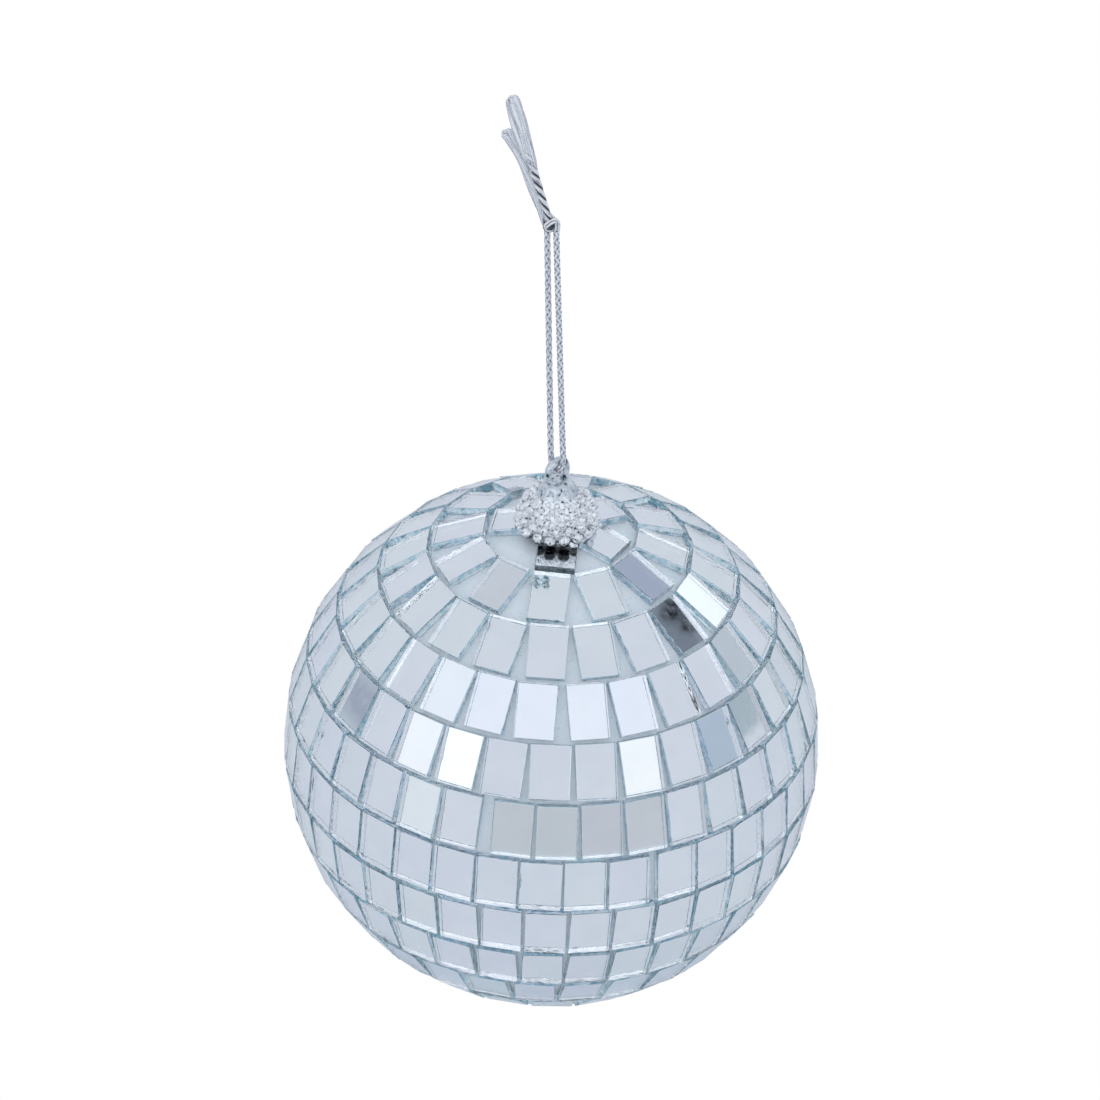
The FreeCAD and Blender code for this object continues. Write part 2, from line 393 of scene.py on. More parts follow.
class Line:
    """A path with an even step along it, and a frame that doesn't twist."""

    def __init__(self, path, step):
        lengths = [0.0]
        for a, b in zip(path, path[1:]):
            lengths.append(lengths[-1] + (b - a).length)
        self.length = lengths[-1]
        count = max(8, round(self.length / step))
        self.along = [self.length * i / count for i in range(count + 1)]
        self.points = []
        k = 0
        for s in self.along:
            while k < len(path) - 2 and lengths[k + 1] < s:
                k += 1
            share = (s - lengths[k]) / max(lengths[k + 1] - lengths[k], 1e-12)
            self.points.append(path[k].lerp(path[k + 1], min(max(share, 0.0), 1.0)))
        self.tangents = tangents_of(self.points)
        side = self.tangents[0].orthogonal().normalized()
        self.sides = []
        for tangent in self.tangents:
            side = (side - tangent * side.dot(tangent)).normalized()
            self.sides.append(side)
        self.overs = [t.cross(s) for t, s in zip(self.tangents, self.sides)]

    def out(self, i, angle):
        """The direction away from the line at an angle round it."""
        return self.sides[i] * math.cos(angle) + self.overs[i] * math.sin(angle)


def tangents_of(points):
    last = len(points) - 1
    return [(points[min(i + 1, last)] - points[max(i - 1, 0)]).normalized()
            for i in range(len(points))]


def thread(bm, layer, centres, outs, half_width, half_thick, sides=8, material=0, shift=0.0):
    """One closed flat thread through centres, its flat side facing outs. The sizes are lists."""
    rings = []
    tangents = tangents_of(centres)
    for i, (centre, out, tangent) in enumerate(zip(centres, outs, tangents)):
        across = tangent.cross(out).normalized()
        over = across.cross(tangent).normalized()
        ring = []
        for k in range(sides):
            angle = math.tau * k / sides
            ring.append(bm.verts.new(centre + across * half_width[i] * math.cos(angle)
                                     + over * half_thick[i] * math.sin(angle)))
        rings.append(ring)
    travelled = 0.0
    for i, (first, second) in enumerate(zip(rings, rings[1:])):
        step = (centres[i + 1] - centres[i]).length
        for k, face in enumerate(ring_band(bm, first, second, material)):
            around = (shift + (k + 1) / sides, shift + k / sides)
            ends = (travelled / MM, (travelled + step) / MM)
            for loop, (u, v) in zip(face.loops, ((0, 0), (1, 0), (1, 1), (0, 1))):
                loop[layer] = (around[1 - u], ends[v], shift)
        travelled += step
    for ring in (rings[0][::-1], rings[-1]):
        bm.faces.new(ring).material_index = material


BRAID_LEAD = 7.2 * MM
BRAID_STRANDS = 4               # each way round


def braid_angle(k, way, s, lead):
    return way * math.tau * s / lead + math.tau * (k + 0.5 * (way < 0)) / BRAID_STRANDS


def braid_lift(way, s, lead):
    """-1 to 1: whether a strand passes under or over the others here."""
    return way * math.sin(BRAID_STRANDS * math.tau * s / lead)


def braid(bm, layer, line, radius, lead=BRAID_LEAD):
    """A round braid of eight flat strands along a line; radius is a list."""
    for way in (1, -1):
        for k in range(BRAID_STRANDS):
            centres, outs, widths, thicks = [], [], [], []
            for i, s in enumerate(line.along):
                out = line.out(i, braid_angle(k, way, s, lead))
                reach = radius[i] * (0.72 + 0.11 * braid_lift(way, s, lead))
                centres.append(line.points[i] + out * reach)
                outs.append(out)
                widths.append(radius[i] * 0.50)
                thicks.append(radius[i] * 0.17)
            thread(bm, layer, centres, outs, widths, thicks, shift=k + 4.0 * (way < 0))
    # The core thread: painted shade, dark through the gaps of the braid.
    thread(bm, layer, line.points, line.sides, [r * 0.62 for r in radius],
           [r * 0.62 for r in radius], material=1)


def twist(bm, layer, line, radius, lead, material):
    """Three thick strands laid round one another along a line; radius is a list."""
    for k in range(3):
        outs = [line.out(i, math.tau * (k / 3 - s / lead)) for i, s in enumerate(line.along)]
        centres = [point + out * r * 0.50
                   for point, out, r in zip(line.points, outs, radius)]
        thread(bm, layer, centres, outs, [r * 0.60 for r in radius], [r * 0.46 for r in radius],
               sides=12, material=material, shift=float(k))


LOOP_ROUTE = (
    (-0.805, 0.890, 0.6), (-0.222, 0.608, -43.2), (-0.135, 0.566, -49.754),
    (0.536, -0.170, -50.75), (1.478, -1.217, -50.75), (2.140, -1.961, -49.754),
    (1.966, -1.822, -43.2), (0.800, -0.894, 0.6))
LONG_TAIL_ROUTE = (
    (-0.3, -0.5, 2.2), (-2.0, -0.45, 8.5), (-3.9, -0.4, 15.4), (-5.65, -0.3, 22.2),
    (-7.1, -0.2, 28.3))
SHORT_TAIL_ROUTE = ((-0.95, 0.6, 0.5), (-1.35, 0.6, 2.6), (-3.0, 0.8, 8.0), (-5.4, 0.9, 15.0),
                    (-8.3, 1.0, 20.6))
BRAID_RADIUS = 0.57 * MM

loop_path = read_spline("loop_route", [vec(*p) for p in LOOP_ROUTE])


def build_loop():
    bm = bmesh.new()
    layer = bm.loops.layers.float_vector.new("thread")
    line = Line(loop_path, 0.2 * MM)
    braid(bm, layer, line, [BRAID_RADIUS] * len(line.points))
    return new_piece("cord_loop_braid", bm, [YARN, YARN_CORE_SHADE], "loop", ["cord_loop"])


KNOT_WRAPS = (
    # the left strand: up the left of the knot and into the short end
    ((-0.81, 0.88, 0.1), (-1.05, 0.60, 0.8), (-1.20, 0.35, 1.6), (-1.35, 0.45, 2.6)),
    # the right strand: up the right, over the top, down across the front, round and up behind
    ((0.80, -0.88, 0.1), (1.00, -0.80, 1.1), (1.02, -0.75, 2.0), (0.75, -0.85, 2.75),
     (0.10, -1.10, 2.75), (-0.60, -1.10, 2.2), (-1.10, -0.80, 1.55), (-0.95, -0.40, 0.75),
     (-0.30, -0.15, 0.35), (0.35, 0.15, 0.6), (0.45, 0.70, 1.5), (0.10, 0.60, 2.3),
     (-0.40, 0.00, 3.2), (-0.75, -0.35, 4.0)),
)
KNOT_HEART = ((-0.2, 0.05, 0.5), (-0.25, 0.0, 1.3), (-0.35, 0.05, 2.2), (-0.5, 0.1, 3.0))
KNOT_FRONT = Vector((0.1, -0.8, 0.6))   # the flat side of the wraps faces this way


def build_knot():
    bm = bmesh.new()
    layer = bm.loops.layers.float_vector.new("thread")
    for number, wrap in enumerate(KNOT_WRAPS):
        line = Line(read_spline("wrap", [vec(*p) for p in wrap]), 0.12 * MM)
        count = len(line.points)
        outs = []
        for tangent in line.tangents:
            out = KNOT_FRONT - tangent * KNOT_FRONT.dot(tangent)
            outs.append(out.normalized() if out.length > 0.2 else tangent.orthogonal())
        for side in (-1, 1):
            along = [point + tangent.cross(out).normalized() * side * 0.25 * MM
                     for point, tangent, out in zip(line.points, line.tangents, outs)]
            thread(bm, layer, along, outs, [0.29 * MM] * count, [0.40 * MM] * count,
                   sides=12, shift=float(number + side))
    # The knot's heart: the dark core thread again, painted shade between the wraps.
    heart = Line(read_spline("heart", [vec(*p) for p in KNOT_HEART]), 0.2 * MM)
    count = len(heart.points)
    thread(bm, layer, heart.points, heart.sides, [0.62 * MM] * count, [0.62 * MM] * count,
           sides=12, material=1)
    return new_piece("cord_knot_wraps", bm, [GLINT, YARN_CORE_SHADE], "knot", ["cord_knot"])


def follow(profile, share):
    """The value at a share along a profile of (share, value) points."""
    for (a, first), (b, second) in zip(profile, profile[1:]):
        if share <= b:
            return first + (second - first) * smoothstep((share - a) / (b - a))
    return profile[-1][1]


def build_tail(name, route, node, seed, look):
    """A loosened end of the cord: flat film strips laid close round an oval bundle, over a
    braided root where the look has one."""
    chance = random.Random(seed)
    bm = bmesh.new()
    layer = bm.loops.layers.float_vector.new("thread")
    line = Line(read_spline(name, [vec(*p) for p in route]), 0.3 * MM)
    braided = [s for s in line.along if s <= look["braided"] * line.length]
    if len(braided) > 2:
        root = Line(line.points[:len(braided)], 0.15 * MM)
        radius = [(0.62 + 0.24 * s / root.length) * MM for s in root.along]
        twist(bm, layer, root, radius, 7.0 * MM, 1)
    strips = look["strips"]
    for number in range(strips):
        inner = number % 3 == 2
        start = math.tau * number / strips + chance.uniform(-0.15, 0.15)
        turn = look["turn"] + chance.uniform(-0.35, 0.35)
        first = look["start"] + chance.uniform(0.0, 0.10)
        last = 1.0 - chance.uniform(0.0, look["stagger"])
        wander = Vector([chance.uniform(-9, 9) for _ in range(3)])
        width = chance.uniform(0.40, 0.60)
        centres, outs, widths, thicks = [], [], [], []
        for i, s in enumerate(line.along):
            share = s / line.length
            if not first <= share <= last:
                continue
            across = line.tangents[i].cross(Vector((0, 1, 0))).normalized()
            depth = across.cross(line.tangents[i])
            place = wander + Vector((0, 0, s / (6.0 * MM)))
            sway, lift = noise.noise(place), noise.noise(place + Vector((0, 50, 0)))
            angle = start + turn * share + 0.5 * sway
            emerge = smoothstep((share - first) / 0.12) if first > 0.05 else 1.0
            reach = (0.62 if inner else 0.94 + 0.05 * lift) * (0.45 + 0.55 * emerge)
            half = follow(look["half_width"], share) * MM
            deep = follow(look["half_depth"], share) * MM
            out = across * (math.cos(angle) / half) + depth * (math.sin(angle) / deep)
            point = across * (math.cos(angle) * half) + depth * (math.sin(angle) * deep)
            centres.append(line.points[i] + point * reach)
            outs.append((out.normalized() + line.tangents[i].cross(out.normalized()) * 0.22)
                        .normalized())
            widths.append(width * MM)
            thicks.append(0.045 * MM)
        widths[-1] *= 0.6
        thread(bm, layer, centres, outs, widths, thicks, sides=6, shift=float(number))
    core = line.points[:int(len(line.points) * 0.94)]
    shares = [i / len(line.points) for i in range(len(core))]
    thread(bm, layer, core, [Vector((0, 1, 0))] * len(core),
           [follow(look["half_width"], share) * 0.75 * MM for share in shares],
           [follow(look["half_depth"], share) * 0.75 * MM for share in shares],
           sides=12)
    return new_piece(name, bm, [FRAY, GLINT], "knot", [node])


LONG_LOOK = {
    "strips": 26, "start": 0.34, "braided": 0.56, "turn": 0.5, "stagger": 0.05,
    "half_width": ((0.0, 0.42), (0.35, 0.70), (0.6, 1.12), (0.8, 1.32), (0.93, 1.16), (1.0, 0.76)),
    "half_depth": ((0.0, 0.42), (0.4, 0.55), (0.8, 0.75), (1.0, 0.45))}
SHORT_LOOK = {
    "strips": 18, "start": 0.0, "braided": 0.0, "turn": 0.7, "stagger": 0.07,
    "half_width": ((0.0, 0.45), (0.12, 0.66), (0.35, 0.86), (0.75, 0.74), (0.88, 0.84), (1.0, 1.15)),
    "half_depth": ((0.0, 0.50), (0.7, 0.50), (1.0, 0.30))}

loop_piece = build_loop()
knot_piece = build_knot()
long_tail = build_tail("cord_end_long", LONG_TAIL_ROUTE, "cord_tail_long", 11, LONG_LOOK)
short_tail = build_tail("cord_end_short", SHORT_TAIL_ROUTE, "cord_tail_short", 23, SHORT_LOOK)


# ---------------------------------------------------------------- mirrors

class Tile:
    """Where one flat mirror of the CAD model lies."""

    def __init__(self, corners, normals):
        self.centre = sum(corners, Vector()) / len(corners)
        self.out = max(normals, key=lambda n: n.dot(self.centre - BALL))
        flat = [n for n in normals if abs(n.dot(self.out)) < 0.1]
        self.up = max(flat, key=lambda n: n.z if abs(self.out.z) < 0.999 else n.y)
        self.across = self.up.cross(self.out)
        self.width, self.height, self.thick = (
            max(abs((c - self.centre).dot(axis)) for c in corners) * 2
            for axis in (self.across, self.up, self.out))
        self.back = self.centre - self.out * self.thick / 2

    def place(self, x, y, z):
        return self.back + self.across * x + self.up * y + self.out * z


def tiles_of(node):
    """The separate boxes in a CAD node of mirrors."""
    bm = bmesh.new()
    bm.from_mesh(node.data)
    bmesh.ops.remove_doubles(bm, verts=bm.verts, dist=1e-6)
    bm.normal_update()
    bm.faces.index_update()
    seen, tiles = set(), []
    for first in bm.verts:
        if first in seen:
            continue
        group, queue = [], [first]
        seen.add(first)
        while queue:
            vert = queue.pop()
            group.append(vert)
            for edge in vert.link_edges:
                other = edge.other_vert(vert)
                if other not in seen:
                    seen.add(other)
                    queue.append(other)
        faces = {face for vert in group for face in vert.link_faces}
        normals = [face.normal.copy() for face in sorted(faces, key=lambda face: face.index)]
        tiles.append(Tile([v.co.copy() for v in group], normals))
    bm.free()
    return tiles


ROWS = {name: tiles_of(node) for name, node in sorted(nodes.items())
        if name.startswith("mirror_row") or name == "bottom_mirror"}

SIDE_STEPS = 10
PAINT_THICK = 0.07 * MM
SILVER_HEIGHT = 0.09 * MM
ARRIS = 0.10 * MM               # the worn edge round the front face


class CutEdges:
    """How far the glass falls short of its nominal outline, at any place and height."""

    def __init__(self, tile, chance):
        self.seed = Vector((chance.uniform(-99, 99), chance.uniform(-99, 99), 0))
        self.front = [chance.uniform(0.0, 0.05) * MM for _ in range(4)]
        self.back = [chance.uniform(0.0, 0.10) * MM for _ in range(4)]
        self.chips = []
        for _ in range(chance.choice((0, 0, 1, 1, 2))):
            self.chips.append((chance.randrange(4), chance.choice((0.02, 0.98, chance.random())),
                               chance.uniform(0.05, 0.13), chance.uniform(0.12, 0.42) * MM))

    def inset(self, side, share, height):
        """side 0 to 3, share 0 to 1 along it, height 0 at the back to 1 at the front."""
        amount = self.back[side] + (self.front[side] - self.back[side]) * height
        rough = 0.05 if height < 0.8 else 0.02
        place = self.seed + Vector((side * 7.3 + share * 6.0, height * 3.0, side))
        amount += abs(noise.noise(place)) * rough * MM
        for chip_side, at, half, depth in self.chips:
            if chip_side == side:
                fall = max(0.0, 1 - ((share - at) / half) ** 2)
                amount += depth * fall * max(0.0, height * 2.2 - 1.2)
        return amount


def outline(tile, cut, height, extra):
    """Points round the glass at one height, counter-clockwise from the lower left."""
    half_w, half_h = tile.width / 2, tile.height / 2
    points = []
    for side in range(4):
        before, after = (side - 1) % 4, (side + 1) % 4
        for step in range(SIDE_STEPS):
            share = step / SIDE_STEPS
            depth = cut.inset(side, share, height) + extra
            if step == 0:
                ends = cut.inset(before, 1.0, height) + extra
            else:
                ends = 0.0
            long_half = half_w if side % 2 == 0 else half_h
            short_half = half_h if side % 2 == 0 else half_w
            along = -long_half + 2 * long_half * share
            start = cut.inset(before, 1.0, height) + extra
            finish = cut.inset(after, 0.0, height) + extra
            along += start * (1 - share) - finish * share
            if step == 0:
                along = -long_half + ends
            inward = -short_half + depth
            x, y = along, inward
            for _ in range(side):
                x, y = -y, x
            points.append((x, y))
    return points


def add_ring(bm, tile, points, z):
    return [bm.verts.new(tile.place(x, y, z)) for x, y in points]


def add_mirror(bm, layer, tile, chance):
    """One mirror: a glass slab with cut sides, silvering and a coat of paint behind."""
    cut = CutEdges(tile, chance)
    tint = chance.random()
    thick = tile.thick
    levels = ((SILVER_HEIGHT, 0.0, 0.0), (thick * 0.42, 0.4, 0.0), (thick * 0.72, 0.7, 0.0),
              (thick - ARRIS, 0.92, 0.0), (thick, 1.0, ARRIS * 0.8))
    rings = [add_ring(bm, tile, outline(tile, cut, share, extra), z)
             for z, share, extra in levels]
    faces = []
    for first, second in zip(rings, rings[1:]):
        faces += ring_band(bm, first, second, 1)
    front = bm.faces.new(rings[-1])
    front.material_index = 0
    silver = bm.faces.new(rings[0][::-1])
    silver.material_index = 2
    faces += [front, silver]
    lower = add_ring(bm, tile, outline(tile, cut, 0.0, 0.02 * MM), 0.0)
    upper = add_ring(bm, tile, outline(tile, cut, 0.0, 0.01 * MM), PAINT_THICK)
    paint = ring_band(bm, lower, upper, 3)
    for ring in (lower[::-1], upper):
        face = bm.faces.new(ring)
        face.material_index = 3
        paint.append(face)
    for face in faces + paint:
        face[layer] = tint


MIRROR_MATERIALS = [
    glass_material(),
    cut_edge_material(),
    silver_material(),
    paint_material(),
]


def build_mirrors():
    for number, (name, tiles) in enumerate(ROWS.items()):
        chance = random.Random(100 + number)
        bm = bmesh.new()
        layer = bm.faces.layers.float.new("mirror_tint")
        for tile in tiles:
            add_mirror(bm, layer, tile, chance)
        new_piece(name + "_glass", bm, MIRROR_MATERIALS, "ball", [name], False)


build_mirrors()


# ---------------------------------------------------------------- glass chips

def add_chip(bm, centre, out, size, chance, material):
    """A splinter of glass: a thin irregular prism, tilted at random."""
    tilt = Vector([chance.uniform(-1, 1) for _ in range(3)]) * 0.5
    axis = (out + tilt).normalized()
    side = axis.orthogonal().normalized()
    over = axis.cross(side)
    corners = chance.choice((3, 4, 5))
    rings = []
    for level in (-0.2, 0.2):
        ring = []
        for k in range(corners):
            angle = math.tau * (k + chance.uniform(-0.25, 0.25)) / corners
            reach = size * chance.uniform(0.35, 0.60)
            ring.append(bm.verts.new(centre + side * math.cos(angle) * reach
                                     + over * math.sin(angle) * reach + axis * level * size))
        rings.append(ring)
    ring_band(bm, rings[0], rings[1], material)
    bm.faces.new(rings[0][::-1]).material_index = material
    bm.faces.new(rings[1]).material_index = material


CHIPS_AZIMUTH = math.radians(-156)      # a heap of splinters in the glue beside the cap
CHIPS_POLAR = math.radians(17.5)


def build_chips():
    chance = random.Random(41)
    bm = bmesh.new()
    for _ in range(26):
        azimuth = CHIPS_AZIMUTH + chance.gauss(0, 0.07)
        polar = CHIPS_POLAR + chance.gauss(0, 0.016)
        out = Vector((math.sin(polar) * math.sin(azimuth), -math.sin(polar) * math.cos(azimuth),
                      math.cos(polar)))
        centre = BALL + out * (48.6 + chance.uniform(0.0, 0.5)) * MM
        add_chip(bm, centre, out, chance.uniform(0.6, 1.3) * MM, chance, 0)
    front = min(ROWS["mirror_row_02"], key=lambda tile: tile.centre.y)
    for _ in range(26):
        x = -front.width / 2 + chance.uniform(0.3, 3.2) * MM
        y = front.height / 2 - chance.uniform(1.0, 2.6) * MM
        add_chip(bm, front.place(x, y, front.thick + 0.10 * MM), front.out,
                 chance.uniform(0.40, 0.80) * MM, chance, 1)
    glass = [glass_material(), cut_edge_material()]
    return new_piece("glass_chips", bm, glass, "ball", smooth=False)


build_chips()


# ---------------------------------------------------------------- glue coat

COAT_RADIUS = 48.0 * MM
GROOVE_RADIUS = 48.12 * MM
FILLET = 0.55 * MM


def build_coat():
    """The glue coat: it fills the space behind each mirror and climbs a little at its edges."""
    bm = bmesh.new()
    bmesh.ops.create_icosphere(bm, subdivisions=7, radius=1.0)
    tiles = [tile for row in ROWS.values() for tile in row]
    backs = np.array([tile.back - BALL for tile in tiles])
    outs = np.array([tile.out for tile in tiles])
    acrosses = np.array([tile.across for tile in tiles])
    ups = np.array([tile.up for tile in tiles])
    halves = np.array([(tile.width / 2, tile.height / 2) for tile in tiles])
    plane = np.einsum("ij,ij->i", backs, outs)
    for vert in bm.verts:
        direction = np.array(vert.co.normalized())
        facing = outs @ direction
        near = np.nonzero(facing > 0.93)[0]
        reach = plane[near] / facing[near]
        offset = direction[None, :] * reach[:, None] - backs[near]
        x = np.abs(np.einsum("ij,ij->i", offset, acrosses[near])) - halves[near, 0]
        y = np.abs(np.einsum("ij,ij->i", offset, ups[near])) - halves[near, 1]
        outside = np.maximum(x, y)
        place = vert.co * 26.0
        groove = GROOVE_RADIUS + (noise.noise(place) * 0.10 + noise.noise(place * 3) * 0.05) * MM
        radius = groove
        if len(near):
            best = int(np.argmin(outside))
            gap = float(outside[best])
            behind = float(reach[best]) - 0.015 * MM
            if gap <= 0:
                radius = behind
            elif gap < FILLET:
                climb = (1 - gap / FILLET) ** 2
                radius = groove + max(0.0, behind - groove) * climb
        vert.co = BALL + Vector(direction) * radius
    return new_piece("glue_coat", bm, [coat_material()], "ball", ["adhesive_coat"])


build_coat()


# ---------------------------------------------------------------- cap

CROWN = (
    # beads in a row, their radius, the row's radius and its height over the cap's foot
    (18, 1.15, 6.95, 1.15), (18, 0.98, 6.60, 2.80), (20, 0.84, 6.22, 4.05),
    (19, 0.76, 5.60, 5.15), (17, 0.68, 4.85, 6.05), (15, 0.60, 4.10, 6.85))
CROWN_LEAN = 0.30               # how much lower the beads are in front than at the middle
BODY_PROFILE = ((4.5, 0.15), (6.5, 0.15), (6.85, 1.2), (6.6, 2.8), (6.1, 4.2), (5.3, 5.3),
                (4.5, 6.2), (3.8, 7.0), (3.25, 7.8), (2.85, 8.6), (2.5, 9.3), (1.4, 9.65),
                (0.0, 9.7))
RECESS_TOP = 2.95
NECK_FOOT = 7.4                 # ribs start here
SMOOTH_FROM = 7.0               # no beads above this height
RIBS = 9
HOLE_AZIMUTH = math.radians(42)
RING_HEIGHT = 11.3
RING_RADIUS = 2.25
BAR_TOP = 0.92                  # the bar's radius on top, where the cord hangs, and at the sides
BAR_SIDE = 0.66
RING_BEADS = 11


def cap_point(radius, angle, height):
    """A point on the cap in millimetres from its foot and its axis."""
    return CAP_FOOT + vec(radius * math.sin(angle), -radius * math.cos(angle), height)


def add_cap_body(bm):
    steps = 96
    rings = []
    for radius, height in BODY_PROFILE[:-1]:
        ring = []
        for i in range(steps):
            angle = math.tau * i / steps
            rib = 1 + 0.05 * math.cos(RIBS * angle) * (NECK_FOOT < height < 9.0)
            ring.append(bm.verts.new(cap_point(radius * rib, angle, height)))
        rings.append(ring)
    recess = [bm.verts.new(cap_point(BODY_PROFILE[0][0], math.tau * i / steps, RECESS_TOP))
              for i in range(steps)]
    for first, second in zip(rings, rings[1:]):
        ring_band(bm, first, second)
    ring_band(bm, recess, rings[0])
    top = bm.verts.new(cap_point(0, 0, BODY_PROFILE[-1][1]))
    inside = bm.verts.new(cap_point(0, 0, RECESS_TOP))
    for i in range(steps):
        j = (i + 1) % steps
        bm.faces.new((rings[-1][i], rings[-1][j], top))
        bm.faces.new((recess[j], recess[i], inside))


def add_bead(bm, centre, radius, chance):
    """A small faceted bead with its own turn."""
    spin = Matrix.Rotation(chance.uniform(0, 3), 4, (0.3, 0.5, 0.8))
    bmesh.ops.create_icosphere(bm, subdivisions=2, radius=radius * MM,
                               matrix=Matrix.Translation(centre) @ spin)


def add_crown(bm, chance):
    for row, (count, size, radius, height) in enumerate(CROWN):
        for k in range(count):
            angle = math.tau * (k + 0.5 - 0.5 * (row % 2)) / count + chance.uniform(-0.02, 0.02)
            lean = CROWN_LEAN * math.cos(angle)
            rise = height - lean + chance.uniform(-0.05, 0.05)
            centre = cap_point(radius + chance.uniform(-0.05, 0.05), angle, rise)
            add_bead(bm, centre, size * chance.uniform(0.96, 1.03), chance)


def add_hanging_ring(bm):
    """The upright ring moulded on top: thick on top where the cord hangs, slim at the sides, with
    small lumps all round and a flared foot.
    """
    major, minor = 88, 24
    axis = Vector((math.sin(HOLE_AZIMUTH), -math.cos(HOLE_AZIMUTH), 0))
    side = axis.cross(UP)
    centre = CAP_FOOT + UP * RING_HEIGHT * MM
    rings = []
    for i in range(major):
        angle = math.tau * i / major
        out = side * math.cos(angle) + UP * math.sin(angle)
        flare = 1 + 0.5 * smoothstep((-math.sin(angle) - 0.4) / 0.6)
        bar = BAR_SIDE + (BAR_TOP - BAR_SIDE) * smoothstep((math.sin(angle) - 0.2) / 0.6)
        lump = 0.96 + 0.04 * math.cos(RING_BEADS * angle)
        ring = []
        for k in range(minor):
            turn = math.tau * k / minor
            reach = bar * lump * MM
            point = centre + out * (RING_RADIUS * MM + reach * math.cos(turn))
            ring.append(bm.verts.new(point + axis * reach * flare * math.sin(turn)))
        rings.append(ring)
    faces = []
    for i in range(major):
        faces += ring_band(bm, rings[i], rings[(i + 1) % major], 1, flip=True)
    for face in faces:
        face.smooth = True


def build_cap():
    chance = random.Random(5)
    bm = bmesh.new()
    add_cap_body(bm)
    for face in bm.faces:
        face.smooth = True
        if face.calc_center_median().z > CAP_FOOT.z + SMOOTH_FROM * MM:
            face.material_index = 1
    body = len(bm.verts)
    add_crown(bm, chance)
    add_hanging_ring(bm)
    bmesh.ops.recalc_face_normals(bm, faces=bm.faces)
    # Painted shade under the cap: the body's foot below about 1.3 mm, and the downward-facing lower
    # halves of the front rim beads, are marked for the near-black unplated colour.
    layer = bm.verts.layers.float.new("underside_painted_shade")
    bm.normal_update()
    for number, vert in enumerate(bm.verts):
        height = (vert.co.z - CAP_FOOT.z) / MM
        if number < body:
            vert[layer] = 1.0 - smoothstep((height - 0.9) / 0.4)
        elif height < 1.5:
            front = smoothstep((-vert.co.y / vert.co.xy.length - 0.70) / 0.15)
            vert[layer] = smoothstep((-0.10 - vert.normal.z) / 0.15) * front
    # The ring and the neck above SMOOTH_FROM take a darker copy of the plating, a painted shade that
    # dims their reflections.
    looks = [plated_material("silver_plated_beads", 2000.0, 0.345, 0.7, (1.0, 1.0, 1.0)),
             plated_material("silver_plated_ring", 1000.0, 0.35, 0.4, (0.74, 0.78, 0.81))]
    return new_piece("beaded_cap", bm, looks, "ball", ["hanger_cap"], None)


build_cap()


# ---------------------------------------------------------------- carried-over CAD nodes

for node_name, slot, make in (("foam_core", "foam", foam_material),
                              ("anchor_peg", "peg", peg_material),
                              ("cap_glue", "glue", glue_material)):
    mesh = nodes[node_name].data
    mesh.materials.clear()
    mesh.materials.append(make())


# ---------------------------------------------------------------- floor

FLOOR_HEIGHT = -0.30
FLOOR_RADIUS = 1.4


def build_floor():
    bm = bmesh.new()
    bmesh.ops.create_circle(bm, cap_ends=True, segments=96, radius=FLOOR_RADIUS,
                            matrix=Matrix.Translation((0, 0, FLOOR_HEIGHT)))
    mesh = bpy.data.meshes.new("floor")
    bm.to_mesh(mesh)
    bm.free()
    floor = bpy.data.objects.new("floor", mesh)
    bpy.context.scene.collection.objects.link(floor)
    n = Nodes("pale_floor")
    pale = n.ramp(n.noise(6.0), (0.3, (0.89, 0.90, 0.91)), (0.7, (0.92, 0.93, 0.94)))
    # Painted shadow: a soft darker patch round a point 6 cm behind the hanging line, fading out
    # between 0.006 and 0.020 m2 of squared distance; only rays other than the camera's see it.
    split = n.add("SeparateXYZ")
    n.put(split, "Vector", n.coordinates())
    behind = n.maths("SUBTRACT", split.outputs["Y"], 0.06)
    square = n.maths("ADD", n.maths("POWER", n.maths("ABSOLUTE", behind), 2.0),
                     n.maths("POWER", n.maths("ABSOLUTE", split.outputs["X"]), 2.0))
    shade = n.ramp(n.span(square, 0.006, 0.020, 0.0, 1.0),
                   (0.0, (0.82, 0.86, 0.90)), (1.0, (1.0, 1.0, 1.0)))
    n.set(Base_Color=n.mix(1.0, pale, shade, "MULTIPLY"), Roughness=0.85)
    bright = n.add("Emission", Color=grey(1, 1, 1), Strength=1.0)
    mixer = n.add("MixShader")
    n.put(mixer, 0, n.add("LightPath").outputs["Is Camera Ray"])
    n.put(mixer, 1, n.shader.outputs[0])
    n.put(mixer, 2, bright.outputs[0])
    n.put(n.tree.nodes["Material Output"], "Surface", mixer.outputs[0])
    mesh.materials.append(n.material)


build_floor()


# ---------------------------------------------------------------- studio light

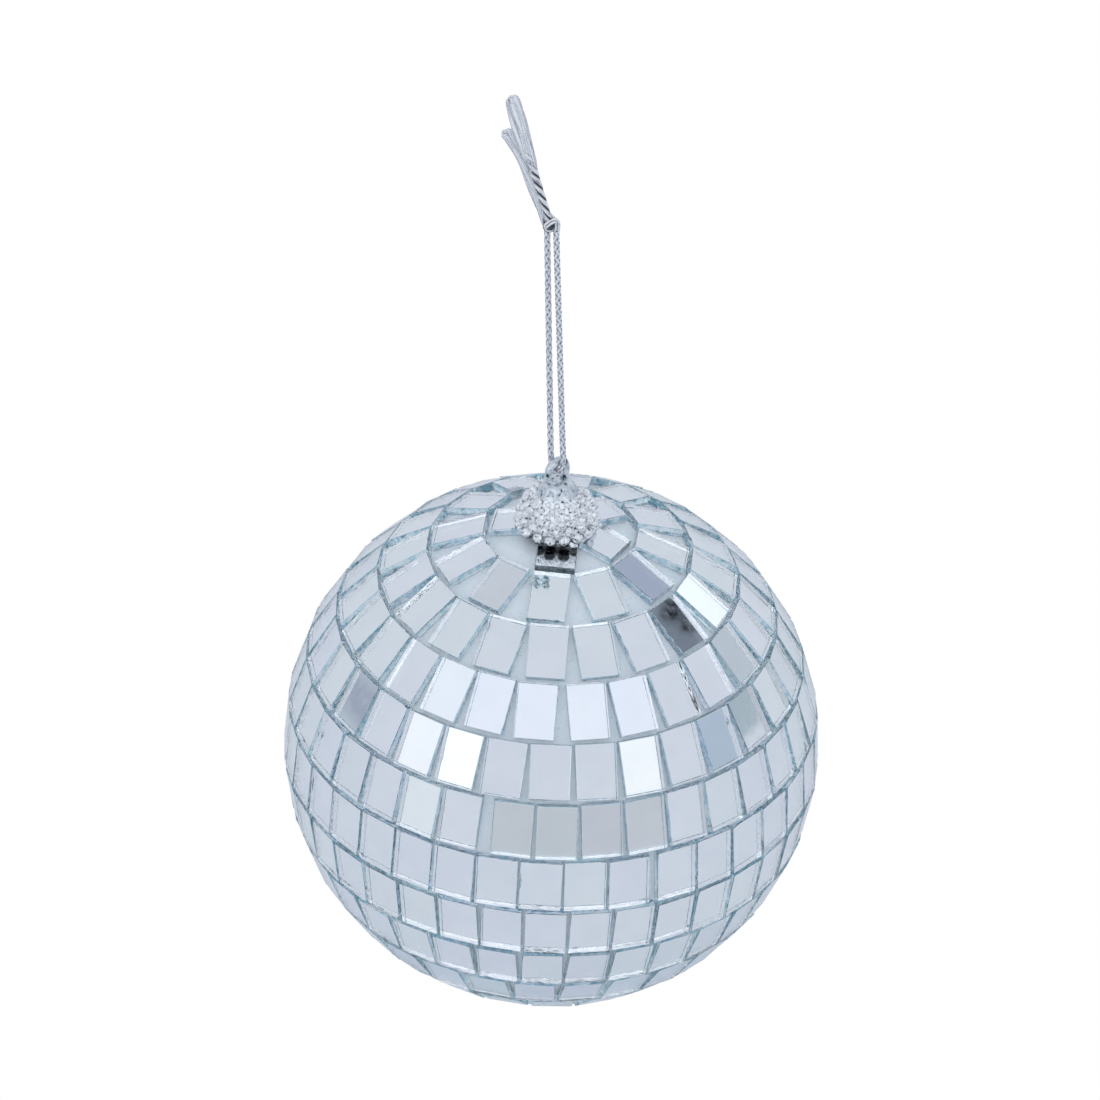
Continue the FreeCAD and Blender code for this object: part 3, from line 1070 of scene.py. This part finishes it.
TENT = (0.685, 0.735, 0.81)      # the white cloth of the light tent, slightly cool
STUDIO = (
    # azimuth and elevation, half width and half height in degrees, soft edge, brightness, tint
    (-3, 41, 60, 14, 5, 1.27, (1.0, 1.0, 1.0)),
    (-51, 37, 24, 14, 8, 1.28, (1.0, 1.0, 0.99)),
    (-44, 21, 13, 9, 5, 1.62, (1.02, 1.0, 0.95)),
    (-63, 17, 8, 7, 5, 1.40, (1.02, 1.0, 0.95)),
    (45, 17, 10, 10, 5, 1.42, (1.02, 1.0, 0.93)),
    (14, -2, 34, 10, 5, 0.82, (1.0, 1.0, 0.985)),
    (92, 4, 13, 8, 4, 0.70, (0.93, 1.0, 1.06)),
    (-100, 7, 10, 9, 4, 0.80, (0.95, 1.0, 1.02)),
    (-100, 5.33, 3, 0.26, 0.2, 0.55, (0.97, 1.0, 1.15)),
    (137, 47, 12, 9, 4, 0.60, (0.92, 0.98, 1.13)),
    (110, 16, 9, 7, 4, 0.80, (0.97, 1.0, 1.02)),
    (111, 39, 8, 7, 5, 0.32, (0.90, 1.0, 1.12)),
    (109.6, 41.6, 1.0, 0.35, 0.2, 0.45, (0.94, 1.0, 1.03)),
    (109.66, 41.21, 0.19, 0.15, 0.13, 0.02, (1.0, 1.0, 1.0)),
    (109.55, 41.05, 0.16, 0.11, 0.08, 0.06, (1.0, 1.0, 1.05)),
    (127, 26, 8, 7, 3, 1.50, (1.0, 1.0, 0.97)),
    (79, 9, 5, 5, 2, 0.75, (0.88, 1.0, 1.08)),
    (96.7, 2.5, 2.5, 1.0, 0.3, 0.68, (0.88, 1.0, 1.0)),
    (96.7, 1.9, 2.5, 0.50, 0.06, 1.0, (1.0, 1.0, 1.0)),
    (-134, 61, 6, 5, 2, 0.87, (1.0, 1.0, 1.0)),
    (-56, -7, 5, 5, 2, 1.13, (1.02, 1.01, 0.98)),
    (0, 34, 62, 7, 3, 1.60, (1.01, 1.0, 0.97)),
    (-1.5, 36.5, 4.6, 3.6, 0.8, 0.04, (1.0, 1.0, 1.0)),
)


def build_world():
    """A light tent: pale all round, with softboxes and a few darker openings in it. The camera
    itself sees plain white."""
    world = bpy.data.worlds.new("light_tent")
    bpy.context.scene.world = world
    world.use_nodes = True
    tree = world.node_tree
    tree.nodes.clear()

    def node(kind, inputs=(), **values):
        made = tree.nodes.new("ShaderNode" + kind)
        for key, value in values.items():
            setattr(made, key, value)
        for number, value in enumerate(inputs):
            if isinstance(value, bpy.types.NodeSocket):
                tree.links.new(value, made.inputs[number])
            elif value is not None:
                made.inputs[number].default_value = value
        return made

    def maths(operation, *values):
        return node("Math", values, operation=operation).outputs[0]

    direction = node("TexCoord").outputs["Generated"]
    split = node("SeparateXYZ", [direction]).outputs
    azimuth = maths("DEGREES", maths("ARCTAN2", split[0], maths("MULTIPLY", split[1], -1.0)))
    elevation = maths("DEGREES", maths("ARCSINE", split[2]))
    colour = node("RGB").outputs[0]
    colour.default_value = (*TENT, 1)
    for az, el, half_az, half_el, soft, level, tint in STUDIO:
        off = maths("SUBTRACT", azimuth, float(az))
        turned = maths("ABSOLUTE", maths("WRAP", off, 180.0, -180.0))
        raised = maths("ABSOLUTE", maths("SUBTRACT", elevation, float(el)))
        share = []
        for amount, half in ((turned, half_az), (raised, half_el)):
            edge = node("MapRange", [amount, float(half - soft), float(half), 1.0, 0.0],
                        interpolation_type="SMOOTHSTEP")
            share.append(edge.outputs[0])
        mask = maths("MULTIPLY", *share)
        lit = [c * level * t for c, t in zip(TENT, tint)]
        mixer = node("Mix", data_type="RGBA")
        tree.links.new(mask, mixer.inputs[0])
        tree.links.new(colour, mixer.inputs[6])
        mixer.inputs[7].default_value = (*lit, 1)
        colour = mixer.outputs[2]
    tent = node("Background", [colour, 1.0])
    backdrop = node("Background", [(1, 1, 1, 1), 1.0])
    seen = node("MixShader", [node("LightPath").outputs["Is Camera Ray"], tent.outputs[0],
                              backdrop.outputs[0]])
    tree.links.new(seen.outputs[0], node("OutputWorld").inputs["Surface"])


build_world()
bpy.context.scene.view_settings.view_transform = "Standard"

# Light between the mirrors passes many glass and silver faces before it gets out.
bpy.context.scene.cycles.max_bounces = 24
bpy.context.scene.cycles.glossy_bounces = 16
bpy.context.scene.cycles.transmission_bounces = 24
